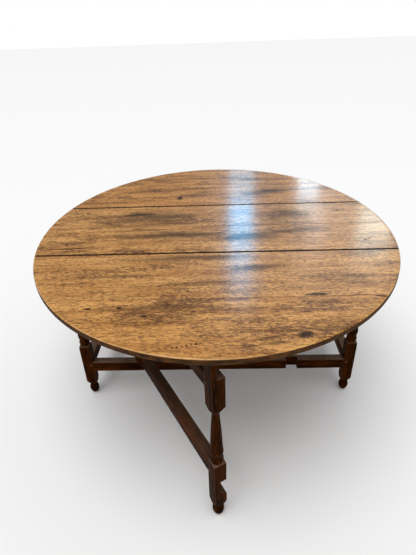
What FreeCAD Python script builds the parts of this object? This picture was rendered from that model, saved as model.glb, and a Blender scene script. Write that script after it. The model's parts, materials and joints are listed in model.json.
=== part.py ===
"""Gateleg table in oak: a fixed frame, two swinging gates and an oval top with two hinged leaves.

+Z is up, X runs along the hinge lines and Y across the three sections of the top. The origin is on
the floor under the middle of the top. The table looks the same after half a turn about Z, so each
piece of the back half is the matching piece of the front half, turned by 180 degrees.
Lengths are in millimetres and angles in degrees.
"""

import FreeCAD, Part
import os

import Sketcher
from FreeCAD import Vector

SIZES = {
    # The top
    "top_length": 1429,
    "top_width": 1664,
    "top_height": 740,
    "board_thickness": 22,
    "centre_width": 484,
    "leaf_inner_width": 307,
    "leaf_gap": 2,
    "board_arris": 0.8,
    "rim_round_upper": 6,
    "rim_round_under": 4,
    # The frame, set back from the ends of the top and from the hinge lines
    "end_overhang": 111.5,
    "side_overhang": 10,
    "leg_side": 44,
    "stretcher_level": 142,
    "stretcher_height": 49,
    "stretcher_depth": 36,
    "apron_height": 66,
    "apron_depth": 36,
    # Turned legs and gate posts; a cut is how far a round lies below the faces of the square stock
    "foot_cut": 1.5,
    "foot_flat_radius": 10,
    "foot_height": 50,
    "ankle_radius": 14.5,
    "ankle_height": 8,
    "lower_block_start": 98,
    "leg_block_margin": 3,
    "post_block_margin": 12,
    "upper_block_length": 184,
    "ring_zone_height": 80,
    "ring_cut": 0.1,
    "groove_cut": 2.8,
    "column_cut": 1.4,
    "column_swell": 0.9,
    "neck_radius": 12,
    "neck_height": 4,
    "tongue_height": 35,
    # Mortise and tenon joints, each held by a wooden peg
    "tenon_thickness": 12,
    "tenon_shoulder": 7,
    "mortise_play": 1,
    "peg_diameter": 8,
    "peg_inset": 10,
    "peg_proud": 1,
    "peg_depth": 34,
    "top_peg_diameter": 10,
    "top_peg_inset": 28,
    "top_peg_depth": 58,
    # The gates; the open gate leg stands under the rim, near the middle of the leaf
    "gate_leg_inset": 41,
    "gate_leg_offset": 3.4,
    "gate_opening": 59.7,
    "gate_rail_depth": 38,
    "gate_stretcher_gap": 17,
    "gate_stretcher_height": 53,
    "gate_top_rail_gap": 8,
    "gate_top_rail_height": 50,
    "gate_head_clearance": 0.3,
    "gate_tenon_length": 24,
    "post_play": 1,
    "pintle_diameter": 16,
    "pintle_length": 27,
    "pintle_play": 0.3,
    # Halved joints that take the gate legs when the gates are closed
    "low_lap": 22,
    "high_lap": 18,
    "lap_side_play": 2,
    "lap_depth_play": 0.5,
    "lap_level_play": 4,
    "lap_wear": 18,
    # Stops under the leaves
    "stop_length": 28,
    "stop_depth": 20,
    "stop_thickness": 10,
    "stop_play": 0.3,
    # Iron hinges let in flush under the top
    "hinge_inset": 129,
    "hinge_length": 66,
    "fixed_plate_width": 30,
    "leaf_plate_width": 62,
    "plate_thickness": 2.4,
    "plate_play": 0.3,
    "barrel_diameter": 8,
    "barrel_clearance": 0.5,
    "knuckle_count": 5,
    "knuckle_play": 0.4,
    "pin_diameter": 4,
    "pin_play": 0.05,
    "pin_drop": 2,
    "nail_diameter": 3,
    "nail_head_diameter": 6.4,
    "nail_length": 16,
    "nail_edge": 9,
}

doc = FreeCAD.newDocument("GatelegTable")
sheet = doc.addObject("Spreadsheet::Sheet", "Sizes")
for row, (alias, number) in enumerate(SIZES.items(), 1):
    sheet.set(f"A{row}", alias)
    sheet.set(f"B{row}", str(number))
    sheet.setAlias(f"B{row}", alias)
doc.recompute()

nodes = []


# Places that follow from the sheet, as expressions

def size(alias):
    return f"Sizes.{alias}"


def half(expression):
    return f"({expression}) / 2"


def value(expression):
    """The number that an expression stands for."""
    return float(sheet.evalExpression(expression))


UNDERSIDE = "(Sizes.top_height - Sizes.board_thickness)"
FRAME_END = "(Sizes.top_length / 2 - Sizes.end_overhang)"
FRAME_FRONT = "(Sizes.centre_width / 2 - Sizes.side_overhang)"
LEG_X = f"({FRAME_END} - Sizes.leg_side / 2)"
LEG_Y = f"({FRAME_FRONT} - Sizes.leg_side / 2)"
STRETCHER_TOP = "(Sizes.stretcher_level + Sizes.stretcher_height)"
APRON_BOTTOM = f"({UNDERSIDE} - Sizes.apron_height)"
CENTRE_EDGE = "(Sizes.centre_width / 2)"
LEAF_EDGE = f"({CENTRE_EDGE} + Sizes.leaf_gap)"
LEAF_JOINT = f"({LEAF_EDGE} + Sizes.leaf_inner_width)"
PIN_Y = f"({CENTRE_EDGE} + Sizes.leaf_gap / 2)"
PIN_Z = f"({UNDERSIDE} - Sizes.pin_drop)"
TURNED_AWAY = "(0.75 * Sizes.leg_side)"
GATE_REACH = f"((Sizes.top_width / 2 - Sizes.gate_leg_inset - {LEG_Y}) / sin(Sizes.gate_opening))"
PIVOT_X = f"({GATE_REACH} * cos(Sizes.gate_opening) + Sizes.gate_leg_offset)"
NOTCH_X = f"({GATE_REACH} - {PIVOT_X})"
HINGE_X = f"({FRAME_END} - Sizes.leg_side - Sizes.hinge_inset)"
NOTCH_WIDTH = "(Sizes.leg_side + 2 * Sizes.lap_side_play)"

FRAME_RAILS = {
    "stretcher": {"middle": "(Sizes.stretcher_level + Sizes.stretcher_height / 2)",
                  "height": "Sizes.stretcher_height", "depth": "Sizes.stretcher_depth"},
    "apron": {"middle": f"({UNDERSIDE} - Sizes.apron_height / 2)",
              "height": "Sizes.apron_height", "depth": "Sizes.apron_depth"},
}
GATE_RAILS = {
    "gate_stretcher": {
        "middle": f"({STRETCHER_TOP} + Sizes.gate_stretcher_gap + Sizes.gate_stretcher_height / 2)",
        "height": "Sizes.gate_stretcher_height"},
    "gate_top_rail": {
        "middle": f"({APRON_BOTTOM} - Sizes.gate_top_rail_gap - Sizes.gate_top_rail_height / 2)",
        "height": "Sizes.gate_top_rail_height"},
}
GATE_STRETCHER_TOP = f"({STRETCHER_TOP} + Sizes.gate_stretcher_gap + Sizes.gate_stretcher_height)"
GATE_RAIL_BOTTOM = f"({APRON_BOTTOM} - Sizes.gate_top_rail_gap - Sizes.gate_top_rail_height)"


# Drawing helpers

def bind(thing, path, expression):
    thing.setExpression(path, expression)


def add_feature(body, kind, name, profile):
    feature = body.newObject(kind, name)
    feature.Profile = profile
    return feature


def new_sketch(body, name, plane, level="0"):
    sketch = body.newObject("Sketcher::SketchObject", name)
    support = next(item for item in body.Origin.OriginFeatures if item.Role == plane)
    sketch.AttachmentSupport = [(support, "")]
    sketch.MapMode = "FlatFace"
    bind(sketch, "AttachmentOffset.Base.z", level)
    return sketch


def place_point(sketch, piece, end, spot):
    """Tie one point of a line, arc or circle to the expressions of its two coordinates."""
    for kind, expression in zip(("DistanceX", "DistanceY"), spot):
        index = sketch.addConstraint(Sketcher.Constraint(kind, -1, 1, piece, end, value(expression)))
        sketch.renameConstraint(index, f"{kind}_{piece}_{end}")
        bind(sketch, f"Constraints.{kind}_{piece}_{end}", expression)


def draw_outline(body, name, plane, corners):
    """A closed outline. A corner (x, y) starts a line; (x, y, via_x, via_y) starts an arc."""
    sketch = new_sketch(body, name, plane)
    spots = [Vector(value(corner[0]), value(corner[1]), 0) for corner in corners]
    starts, ends = [], []
    for index, corner in enumerate(corners):
        here, there = spots[index], spots[(index + 1) % len(spots)]
        start, end = 1, 2
        if len(corner) == 2:
            piece = sketch.addGeometry(Part.LineSegment(here, there))
        else:
            via = Vector(value(corner[2]), value(corner[3]), 0)
            if (via - here).cross(there - here).z < 0:
                start, end = 2, 1
                here, there = there, here
            piece = sketch.addGeometry(Part.Arc(here, via, there))
        starts.append((piece, start))
        ends.append((piece, end))
    for index, corner in enumerate(corners):
        sketch.addConstraint(Sketcher.Constraint("Coincident", *ends[index - 1], *starts[index]))
        place_point(sketch, *starts[index], corner[:2])
        if len(corner) == 4:
            via = sketch.addGeometry(Part.Point(Vector(value(corner[2]), value(corner[3]), 0)), True)
            place_point(sketch, via, 1, corner[2:])
            sketch.addConstraint(Sketcher.Constraint("PointOnObject", via, 1, starts[index][0]))
    return sketch


def draw_rectangle(body, name, plane, middle, lengths):
    left, right = (f"{middle[0]} {sign} {half(lengths[0])}" for sign in "-+")
    low, high = (f"{middle[1]} {sign} {half(lengths[1])}" for sign in "-+")
    return draw_outline(body, name, plane, [(left, low), (right, low), (right, high), (left, high)])


def draw_circle(body, name, level, middle, diameter):
    """A circle in a level plane."""
    sketch = new_sketch(body, name, "XY_Plane", level)
    centre = Vector(value(middle[0]), value(middle[1]), 0)
    circle = sketch.addGeometry(Part.Circle(centre, Vector(0, 0, 1), value(diameter) / 2))
    place_point(sketch, circle, 3, middle)
    index = sketch.addConstraint(Sketcher.Constraint("Diameter", circle, value(diameter)))
    sketch.renameConstraint(index, "diameter")
    bind(sketch, "Constraints.diameter", diameter)
    return sketch


def pad(body, name, profile, length):
    """Thicken a sketch equally to both sides of its plane."""
    feature = add_feature(body, "PartDesign::Pad", name, profile)
    feature.Midplane = True
    bind(feature, "Length", length)


def pocket(body, name, profile, depth, upward=False):
    feature = add_feature(body, "PartDesign::Pocket", name, profile)
    feature.Reversed = upward
    bind(feature, "Length", depth)


def block(name, middle, lengths):
    """A box given by the expressions of its middle and of its three lengths."""
    box = doc.addObject("Part::Box", name)
    for axis, side, centre, length in zip("xyz", ("Length", "Width", "Height"), middle, lengths):
        bind(box, side, length)
        bind(box, f"Placement.Base.{axis}", f"{centre} - {half(length)}")
    return box


def rod(name, start, length, diameter, direction):
    """A round bar that runs from a start point along +x, +y or +z."""
    bar = doc.addObject("Part::Cylinder", name)
    bind(bar, "Radius", half(diameter))
    bind(bar, "Height", length)
    axis = {"x": Vector(1, 0, 0), "y": Vector(0, 1, 0), "z": Vector(0, 0, 1)}[direction]
    bar.Placement.Rotation = FreeCAD.Rotation(Vector(0, 0, 1), axis)
    for coordinate, place in zip("xyz", start):
        bind(bar, f"Placement.Base.{coordinate}", place)
    return bar


def group(name, members):
    """Separate solids kept together."""
    bundle = doc.addObject("Part::Compound", name)
    bundle.Links = members
    return bundle


def fused(name, members):
    whole = doc.addObject("Part::MultiFuse", name)
    whole.Shapes = members
    return whole


def shared(name, members):
    overlap = doc.addObject("Part::MultiCommon", name)
    overlap.Shapes = members
    return overlap


def without(name, base, tools):
    """The base with every tool cut away."""
    result = doc.addObject("Part::Cut", name)
    result.Base = base
    result.Tool = tools[0] if len(tools) == 1 else fused(f"{name}_cutters", tools)
    return result


def node(piece, side="front"):
    """Keep a finished piece. Pieces of the back half are turned by half a turn about Z."""
    if side == "back":
        piece.Placement.Rotation = FreeCAD.Rotation(Vector(0, 0, 1), 180)
    nodes.append(piece)


def gate_node(piece, side):
    """Keep a piece drawn with its gate's pivot at the origin and its gate along +X."""
    sign, turn = ("-", "0") if side == "front" else ("", "180")
    piece.Placement.Rotation = FreeCAD.Rotation(Vector(0, 0, 1), 1)
    bind(piece, "Placement.Base.x", f"{sign}{PIVOT_X}")
    bind(piece, "Placement.Base.y", f"{sign}{LEG_Y}")
    bind(piece, "Placement.Rotation.Angle", f"{turn} - Sizes.gate_opening")
    nodes.append(piece)


def other_hand(hand, side):
    """The name of the end at which a piece lies once its half of the table is in place."""
    return "left" if (hand < 0) == (side == "front") else "right"


# The top

def make_oval():
    """The whole top as one oval disc with a rounded rim; each board is a strip of it."""
    outline = doc.addObject("Part::Ellipse", "top_outline")
    outline.Placement.Rotation = FreeCAD.Rotation(Vector(0, 0, 1), 1)
    bind(outline, "MajorRadius", "max(Sizes.top_length; Sizes.top_width) / 2")
    bind(outline, "MinorRadius", "min(Sizes.top_length; Sizes.top_width) / 2")
    bind(outline, "Placement.Rotation.Angle", "Sizes.top_width > Sizes.top_length ? 90 : 0")
    bind(outline, "Placement.Base.z", UNDERSIDE)
    disc = doc.addObject("Part::Extrusion", "top_disc")
    disc.Base = outline
    disc.DirMode = "Custom"
    disc.Dir = Vector(0, 0, 1)
    disc.Solid = True
    bind(disc, "LengthFwd", size("board_thickness"))
    doc.recompute()
    rims = {edge.CenterOfMass.z: index for index, edge in enumerate(disc.Shape.Edges, 1)
            if edge.isClosed()}
    upper, under = value(size("rim_round_upper")), value(size("rim_round_under"))
    rounded = doc.addObject("Part::Fillet", "top_oval")
    rounded.Base = disc
    rounded.Edges = [(rims[max(rims)], upper, upper), (rims[min(rims)], under, under)]
    return rounded


def plank(name, near, far):
    """A plank between two distances in front of the middle, with its upper arrises eased."""
    body = doc.addObject("PartDesign::Body", name)
    top, arris = size("top_height"), size("board_arris")
    section = draw_outline(body, f"{name}_section", "YZ_Plane", [
        (f"-{far}", UNDERSIDE), (f"-{near}", UNDERSIDE),
        (f"-{near}", f"{top} - {arris}"), (f"-{near} - {arris}", top),
        (f"-{far} + {arris}", top), (f"-{far}", f"{top} - {arris}")])
    pad(body, f"{name}_pad", section, f"1.1 * {size('top_length')}")
    return body


def make_boards(side, oval):
    spans = {
        f"centre_board_{side}": ("0", CENTRE_EDGE),
        f"{side}_leaf_inner_board": (LEAF_EDGE, LEAF_JOINT),
        f"{side}_leaf_outer_board": (LEAF_JOINT, f"({LEAF_JOINT} + Sizes.top_width / 2)"),
    }
    cutters = {
        f"centre_board_{side}": [hinge_recesses(f"{side}_centre", 1),
                                 top_pegs(f"centre_board_{side}_peg_holes", [-1])],
        f"{side}_leaf_inner_board": [hinge_recesses(f"{side}_leaf", -1)],
    }
    for name, (near, far) in spans.items():
        strip = plank(f"{name}_plank", near, far)
        if name in cutters:
            whole = shared(f"{name}_whole", [oval, strip])
            node(without(name, whole, cutters[name]), side)
        else:
            node(shared(name, [oval, strip]), side)


# Pegs

def top_pegs(name, rows):
    """Pegs that hold the centre boards down on the end aprons."""
    x = f"({FRAME_END} - Sizes.apron_depth / 2)"
    y = f"({FRAME_FRONT} - Sizes.leg_side - Sizes.top_peg_inset)"
    foot = "Sizes.top_height - Sizes.top_peg_depth"
    return group(name, [
        rod(f"{name}_{hand + 1}_{row + 1}", (f"{hand} * {x}", f"{row} * {y}", foot),
            size("top_peg_depth"), size("top_peg_diameter"), "z")
        for hand in (-1, 1) for row in rows])


def rail_pegs(name, hands):
    """Pegs driven from the front through the tenons of the front stretcher and apron."""
    pegs = []
    for hand in hands:
        x = f"{hand} * ({FRAME_END} - Sizes.leg_side + Sizes.peg_inset)"
        for kind, rail in FRAME_RAILS.items():
            start = (x, f"-{FRAME_FRONT} - Sizes.peg_proud", f"{rail['middle']} + {rail['height']} / 5")
            pegs.append(rod(f"{name}_{kind}_{hand + 1}", start, "Sizes.peg_depth + Sizes.peg_proud",
                            size("peg_diameter"), "y"))
    return group(name, pegs)


def end_pegs(name, hand, rows):
    """Pegs driven from one end through the tenons of the end stretcher and apron."""
    outer = "Sizes.peg_proud" if hand < 0 else "Sizes.peg_depth"
    pegs = []
    for row in rows:
        y = f"{row} * ({FRAME_FRONT} - Sizes.leg_side + Sizes.peg_inset)"
        for kind, rail in FRAME_RAILS.items():
            start = (f"{hand} * {FRAME_END} - {outer}", y, f"{rail['middle']} - {rail['height']} / 5")
            pegs.append(rod(f"{name}_{kind}_{row + 1}", start, "Sizes.peg_depth + Sizes.peg_proud",
                            size("peg_diameter"), "x"))
    return group(name, pegs)


def gate_pegs(name, places):
    """Pegs through both gate rails' tenons, at the given distances from the pivot."""
    return group(name, [
        rod(f"{name}_{kind}_{index}", (x, "-Sizes.leg_side / 2 - Sizes.peg_proud", rail["middle"]),
            "Sizes.leg_side + 2 * Sizes.peg_proud", size("peg_diameter"), "y")
        for kind, rail in GATE_RAILS.items() for index, x in enumerate(places)])


# Turned legs and posts

def turned_radius(cut):
    return f"(Sizes.leg_side / 2 - {size(cut)})"


def turned_column(low, high):
    """The lathe profile between two square blocks: ring, bead, tapered column and neck."""
    groove, ring, column = (turned_radius(cut) for cut in ("groove_cut", "ring_cut", "column_cut"))
    neck = size("neck_radius")
    step = "Sizes.ring_zone_height / 8"
    foot = f"({low} + Sizes.ring_zone_height)"
    neck_top = f"({high} - Sizes.tongue_height)"
    neck_foot = f"({neck_top} - Sizes.neck_height)"
    return [
        (TURNED_AWAY, low, f"{groove} + 0.7 * ({TURNED_AWAY} - {groove})", f"{low} + 1.3 * {step}"),
        (groove, f"{low} + 1.9 * {step}"),
        (groove, f"{low} + 2.5 * {step}", ring, f"{low} + 3.4 * {step}"),
        (groove, f"{low} + 4.3 * {step}"),
        (groove, f"{low} + 5.6 * {step}", ring, f"{low} + 6.6 * {step}"),
        (column, foot, f"({column} + {neck}) / 2 + Sizes.column_swell", half(f"{foot} + {neck_foot}")),
        (neck, neck_foot),
        (neck, neck_top, f"{neck} + 0.32 * ({TURNED_AWAY} - {neck})",
         f"{neck_top} + 0.5 * Sizes.tongue_height"),
        (TURNED_AWAY, high),
    ]


def turned_leg(name, top):
    """A leg turned between its blocks: ball foot, ankle, lower block, column and upper block."""
    ankle, foot = size("ankle_radius"), size("foot_height")
    ankle_top = f"({foot} + Sizes.ankle_height)"
    low = size("lower_block_start")
    profile = [
        ("0", "0"),
        (size("foot_flat_radius"), "0", turned_radius("foot_cut"), half(foot)),
        (ankle, foot),
        (ankle, ankle_top, f"{ankle} + 0.72 * ({TURNED_AWAY} - {ankle})",
         f"{ankle_top} + 0.42 * ({low} - {ankle_top})"),
        (TURNED_AWAY, low),
        *turned_column(f"({GATE_STRETCHER_TOP} + Sizes.leg_block_margin)",
                       f"({UNDERSIDE} - Sizes.upper_block_length)"),
        (TURNED_AWAY, top),
        ("0", top),
    ]
    return turned_stock(name, profile, "0", top)


def turned_stock(name, profile, bottom, top):
    """Square stock from bottom to top, turned to a profile wherever that is narrower."""
    body = doc.addObject("PartDesign::Body", f"{name}_turning")
    sketch = draw_outline(body, f"{name}_profile", "XZ_Plane", profile)
    turning = add_feature(body, "PartDesign::Revolution", f"{name}_lathe_work", sketch)
    turning.ReferenceAxis = (sketch, ["V_Axis"])
    square = block(f"{name}_square", ("0", "0", half(f"{bottom} + {top}")),
                   (size("leg_side"), size("leg_side"), f"{top} - {bottom}"))
    return shared(f"{name}_stock", [square, body])


def tenon_length(rail):
    """A tenon stops short of the mortise that meets it in the leg at a right angle."""
    reach = f"{size('leg_side')} - {rail['depth']} / 2 - {size('tenon_thickness')} / 2"
    return f"({reach} - 2 * Sizes.mortise_play)"


def make_frame_leg(name, hand, side):
    """A frame leg at the left (hand -1) or right (hand 1) of the front half."""
    stock = turned_leg(name, UNDERSIDE)
    bind(stock, "Placement.Base.x", f"{hand} * {LEG_X}")
    bind(stock, "Placement.Base.y", f"-{LEG_Y}")
    cutters = [rail_pegs(f"{name}_rail_peg_holes", [hand]), end_pegs(f"{name}_end_peg_holes", hand, [-1])]
    for kind, rail in FRAME_RAILS.items():
        depth = f"({tenon_length(rail)} + Sizes.mortise_play)"
        height = f"{rail['height']} - 2 * Sizes.tenon_shoulder"
        thickness = size("tenon_thickness")
        cutters.append(block(
            f"{name}_{kind}_mortise",
            (f"{hand} * ({FRAME_END} - Sizes.leg_side + {depth} / 2)",
             f"-{FRAME_FRONT} + {rail['depth']} / 2", rail["middle"]), (depth, thickness, height)))
        cutters.append(block(
            f"{name}_end_{kind}_mortise",
            (f"{hand} * ({FRAME_END} - {rail['depth']} / 2)",
             f"-{FRAME_FRONT} + Sizes.leg_side - {depth} / 2", rail["middle"]),
            (thickness, depth, height)))
    node(without(name, stock, cutters), side)


# Rails

def tenoned_rail(name, plane, centre, rail, length, tenon):
    """A rail along X (drawn on YZ_Plane) or Y (XZ_Plane), with a tenon at both ends."""
    body = doc.addObject("PartDesign::Body", f"{name}_rail")
    shoulder = draw_rectangle(body, f"{name}_section", plane, (centre, rail["middle"]),
                              (rail["depth"], rail["height"]))
    pad(body, f"{name}_between_legs", shoulder, length)
    tongue = draw_rectangle(body, f"{name}_tenon_section", plane, (centre, rail["middle"]),
                            (size("tenon_thickness"), f"{rail['height']} - 2 * Sizes.tenon_shoulder"))
    pad(body, f"{name}_tenons", tongue, f"{length} + 2 * {tenon}")
    return body


def make_long_rail(kind, side):
    """A front stretcher or apron, notched for the gate leg and bored for the gate post."""
    name = f"{side}_{kind}"
    rail = FRAME_RAILS[kind]
    body = tenoned_rail(name, "YZ_Plane", f"-{FRAME_FRONT} + {rail['depth']} / 2", rail,
                        f"(2 * ({FRAME_END} - Sizes.leg_side))", tenon_length(rail))
    lap = "(Sizes.leg_side - Sizes.low_lap)" if kind == "stretcher" else size("high_lap")
    cut = f"({lap} + Sizes.lap_depth_play)"
    notch = draw_rectangle(body, f"{name}_notch_plan", "XY_Plane",
                           (NOTCH_X, f"-{FRAME_FRONT}"), (NOTCH_WIDTH, f"2 * {cut}"))
    pocket(body, f"{name}_notch", notch, size("top_height"), upward=True)
    opening = STRETCHER_TOP if kind == "stretcher" else APRON_BOTTOM
    socket = draw_circle(body, f"{name}_socket_plan", opening, (f"-{PIVOT_X}", f"-{LEG_Y}"),
                         "Sizes.pintle_diameter + 2 * Sizes.pintle_play")
    pocket(body, f"{name}_socket", socket, "Sizes.pintle_length + Sizes.post_play",
           upward=kind == "apron")
    node(without(name, body, [rail_pegs(f"{name}_peg_holes", [-1, 1])]), side)


def make_end_rail(kind, side):
    name = f"{other_hand(-1, side)}_end_{kind}"
    rail = FRAME_RAILS[kind]
    body = tenoned_rail(name, "XZ_Plane", f"-{FRAME_END} + {rail['depth']} / 2", rail,
                        f"(2 * ({FRAME_FRONT} - Sizes.leg_side))", tenon_length(rail))
    cutters = [end_pegs(f"{name}_peg_holes", -1, [-1, 1])]
    if kind == "apron":
        cutters.append(top_pegs(f"{name}_top_peg_holes", [-1, 1]))
    node(without(name, body, cutters), side)


# Gates, drawn with the pivot at the origin and the gate along +X

POST_FACE = "(Sizes.leg_side / 2)"
GATE_LEG_FACE = f"({GATE_REACH} - Sizes.leg_side / 2)"
POST_PEG = f"({POST_FACE} - Sizes.peg_inset)"
GATE_LEG_PEG = f"({GATE_LEG_FACE} + Sizes.peg_inset)"


def gate_mortises(name, face, direction):
    """Mortises for both gate rails, cut into a face towards -x or +x."""
    depth = "(Sizes.gate_tenon_length + Sizes.mortise_play)"
    return [block(f"{name}_{kind}_mortise", (f"{face} {direction} {depth} / 2", "0", rail["middle"]),
                  (depth, size("tenon_thickness"), f"{rail['height']} - 2 * Sizes.tenon_shoulder"))
            for kind, rail in GATE_RAILS.items()]


def make_gate_post(side):
    """The turned post whose pintles swing in the stretcher below and the apron above."""
    name = f"{side}_gate_post"
    pintle = half(size("pintle_diameter"))
    bottom, top = f"({STRETCHER_TOP} - Sizes.pintle_length)", f"({APRON_BOTTOM} + Sizes.pintle_length)"
    foot, head = f"({STRETCHER_TOP} + Sizes.post_play)", f"({APRON_BOTTOM} - Sizes.post_play)"
    low = f"({GATE_STRETCHER_TOP} + Sizes.post_block_margin)"
    high = f"({GATE_RAIL_BOTTOM} - Sizes.post_block_margin)"
    profile = [("0", bottom), (pintle, bottom), (pintle, foot), (TURNED_AWAY, foot),
               *turned_column(low, high), (TURNED_AWAY, head), (pintle, head), (pintle, top), ("0", top)]
    stock = turned_stock(name, profile, bottom, top)
    cutters = gate_mortises(name, POST_FACE, "-") + [gate_pegs(f"{name}_peg_holes", [POST_PEG])]
    gate_node(without(name, stock, cutters), side)


def make_gate_leg(side):
    """The gate's outer leg, halved where it closes over the frame's stretcher and apron."""
    name = f"{side}_gate_leg"
    stock = turned_leg(name, f"({UNDERSIDE} - Sizes.gate_head_clearance)")
    bind(stock, "Placement.Base.x", GATE_REACH)
    face, beyond = f"({POST_FACE} - Sizes.low_lap)", f"({POST_FACE} + 1)"
    high, low = f"{STRETCHER_TOP} + Sizes.lap_level_play", "Sizes.stretcher_level - Sizes.lap_level_play"
    lap = doc.addObject("PartDesign::Body", f"{name}_low_lap")
    bind(lap, "Placement.Base.x", GATE_REACH)
    outline = draw_outline(lap, f"{name}_low_lap_section", "YZ_Plane", [
        (face, low), (beyond, f"{low} - Sizes.lap_wear"), (beyond, high), (face, high)])
    pad(lap, f"{name}_low_lap_pad", outline, f"2 * {size('leg_side')}")
    head_cut = f"({size('leg_side')} - {size('high_lap')})"
    head_height = "(Sizes.apron_height + Sizes.lap_level_play)"
    head = block(f"{name}_high_lap",
                 (GATE_REACH, f"{POST_FACE} - {head_cut} / 2", f"{UNDERSIDE} - {head_height} / 2"),
                 (f"2 * {size('leg_side')}", head_cut, head_height))
    cutters = [lap, head, *gate_mortises(name, GATE_LEG_FACE, "+"),
               gate_pegs(f"{name}_peg_holes", [GATE_LEG_PEG])]
    gate_node(without(name, stock, cutters), side)


def make_gate_rail(kind, side):
    name = f"{side}_{kind}"
    rail = {**GATE_RAILS[kind], "depth": size("gate_rail_depth")}
    body = tenoned_rail(name, "YZ_Plane", "0", rail, f"({GATE_LEG_FACE} - {POST_FACE})",
                        size("gate_tenon_length"))
    bind(body, "Placement.Base.x", half(GATE_REACH))
    gate_node(without(name, body, [gate_pegs(f"{name}_peg_holes", [POST_PEG, GATE_LEG_PEG])]), side)


def make_gate_stop(side):
    """A block under the leaf that the gate leg comes up against when it is open."""
    y = f"-({POST_FACE} + Sizes.stop_play + Sizes.stop_depth / 2)"
    stop = block(f"{side}_gate_stop_blank",
                 (f"{GATE_LEG_FACE} + Sizes.stop_length / 2", y, f"{UNDERSIDE} - Sizes.stop_thickness / 2"),
                 (size("stop_length"), size("stop_depth"), size("stop_thickness")))
    gate_node(group(f"{side}_gate_stop", [stop]), side)


# Hinges: reach is 1 towards the centre board and -1 towards the leaf

def hinge_y(reach, distance):
    """A place at a distance from the hinge line, on the centre board's side or the leaf's."""
    return f"-{PIN_Y} + {reach} * ({distance})"


def plate_width(reach):
    return size("fixed_plate_width") if reach > 0 else size("leaf_plate_width")


def hinge_nails(name, reach, hands):
    """Nails with countersunk heads, three to a plate."""
    nails = []
    near = "Sizes.barrel_diameter / 2 + Sizes.barrel_clearance + Sizes.nail_edge"
    far = f"{plate_width(reach)} - Sizes.nail_edge"
    for hand in hands:
        for step, distance in ((-1, near), (0, far), (1, near)):
            spot = (f"{hand} * {HINGE_X} + {step} * (Sizes.hinge_length / 2 - Sizes.nail_edge)",
                    hinge_y(reach, distance), UNDERSIDE)
            label = f"{name}_{hand + 1}{step + 1}"
            head = doc.addObject("Part::Cone", f"{label}_head")
            bind(head, "Radius1", half(size("nail_head_diameter")))
            bind(head, "Radius2", half(size("nail_diameter")))
            bind(head, "Height", size("plate_thickness"))
            for axis, place in zip("xyz", spot):
                bind(head, f"Placement.Base.{axis}", place)
            shank = rod(f"{label}_shank", spot, size("nail_length"), size("nail_diameter"), "z")
            nails.append(fused(label, [head, shank]))
    return group(name, nails)


def hinge_recesses(name, reach):
    """The recesses and nail holes of both hinges of one leaf, on one side of the hinge line."""
    width = f"({plate_width(reach)} + Sizes.plate_play)"
    cutters = [block(f"{name}_recess_{hand + 1}",
                     (f"{hand} * {HINGE_X}", hinge_y(reach, half(width)),
                      f"{UNDERSIDE} + Sizes.plate_thickness / 2"),
                     ("Sizes.hinge_length + 2 * Sizes.plate_play", width, size("plate_thickness")))
               for hand in (-1, 1)]
    return fused(f"{name}_recesses", [*cutters, hinge_nails(f"{name}_nail_holes", reach, [-1, 1])])


def make_hinge_plate(name, reach, hand, side):
    """A plate with its own share of the knuckles, bored for the pin."""
    x = f"{hand} * {HINGE_X}"
    clear = "(Sizes.barrel_diameter / 2 + Sizes.barrel_clearance)"
    width = f"({plate_width(reach)} - {clear})"
    level = f"{UNDERSIDE} + Sizes.plate_thickness / 2"
    pieces = [block(f"{name}_flat", (x, hinge_y(reach, f"{clear} + {width} / 2"), level),
                    (size("hinge_length"), width, size("plate_thickness")))]
    count = int(value(size("knuckle_count")))
    pitch = "(Sizes.hinge_length / Sizes.knuckle_count)"
    knuckle = f"({pitch} - Sizes.knuckle_play)"
    for index in range(0 if reach > 0 else 1, count, 2):
        middle = f"({x} + {2 * index + 1 - count} * {pitch} / 2)"
        pieces.append(block(f"{name}_tab_{index}", (middle, hinge_y(reach, f"{clear} * 0.55"), level),
                            (knuckle, f"{clear} * 0.9", size("plate_thickness"))))
        pieces.append(rod(f"{name}_knuckle_{index}", (f"{middle} - {knuckle} / 2", f"-{PIN_Y}", PIN_Z),
                          knuckle, size("barrel_diameter"), "x"))
    bore_diameter = size("pin_diameter") if reach > 0 else "Sizes.pin_diameter + 2 * Sizes.pin_play"
    bore = rod(f"{name}_bore", (f"{x} - Sizes.hinge_length", f"-{PIN_Y}", PIN_Z),
               "2 * Sizes.hinge_length", bore_diameter, "x")
    nails = hinge_nails(f"{name}_nail_holes", reach, [hand])
    node(without(name, fused(f"{name}_blank", pieces), [bore, nails]), side)


def make_hinges(side):
    for hand in (-1, 1):
        name = f"{side}_{other_hand(hand, side)}_hinge"
        make_hinge_plate(f"{name}_fixed_plate", 1, hand, side)
        make_hinge_plate(f"{name}_leaf_plate", -1, hand, side)
        start = (f"{hand} * {HINGE_X} - Sizes.hinge_length / 2", f"-{PIN_Y}", PIN_Z)
        node(group(f"{name}_pin", [rod(f"{name}_pin_rod", start, size("hinge_length"),
                                       size("pin_diameter"), "x")]), side)
    node(hinge_nails(f"{side}_centre_hinge_nails", 1, [-1, 1]), side)
    node(hinge_nails(f"{side}_leaf_hinge_nails", -1, [-1, 1]), side)


# The whole table

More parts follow.
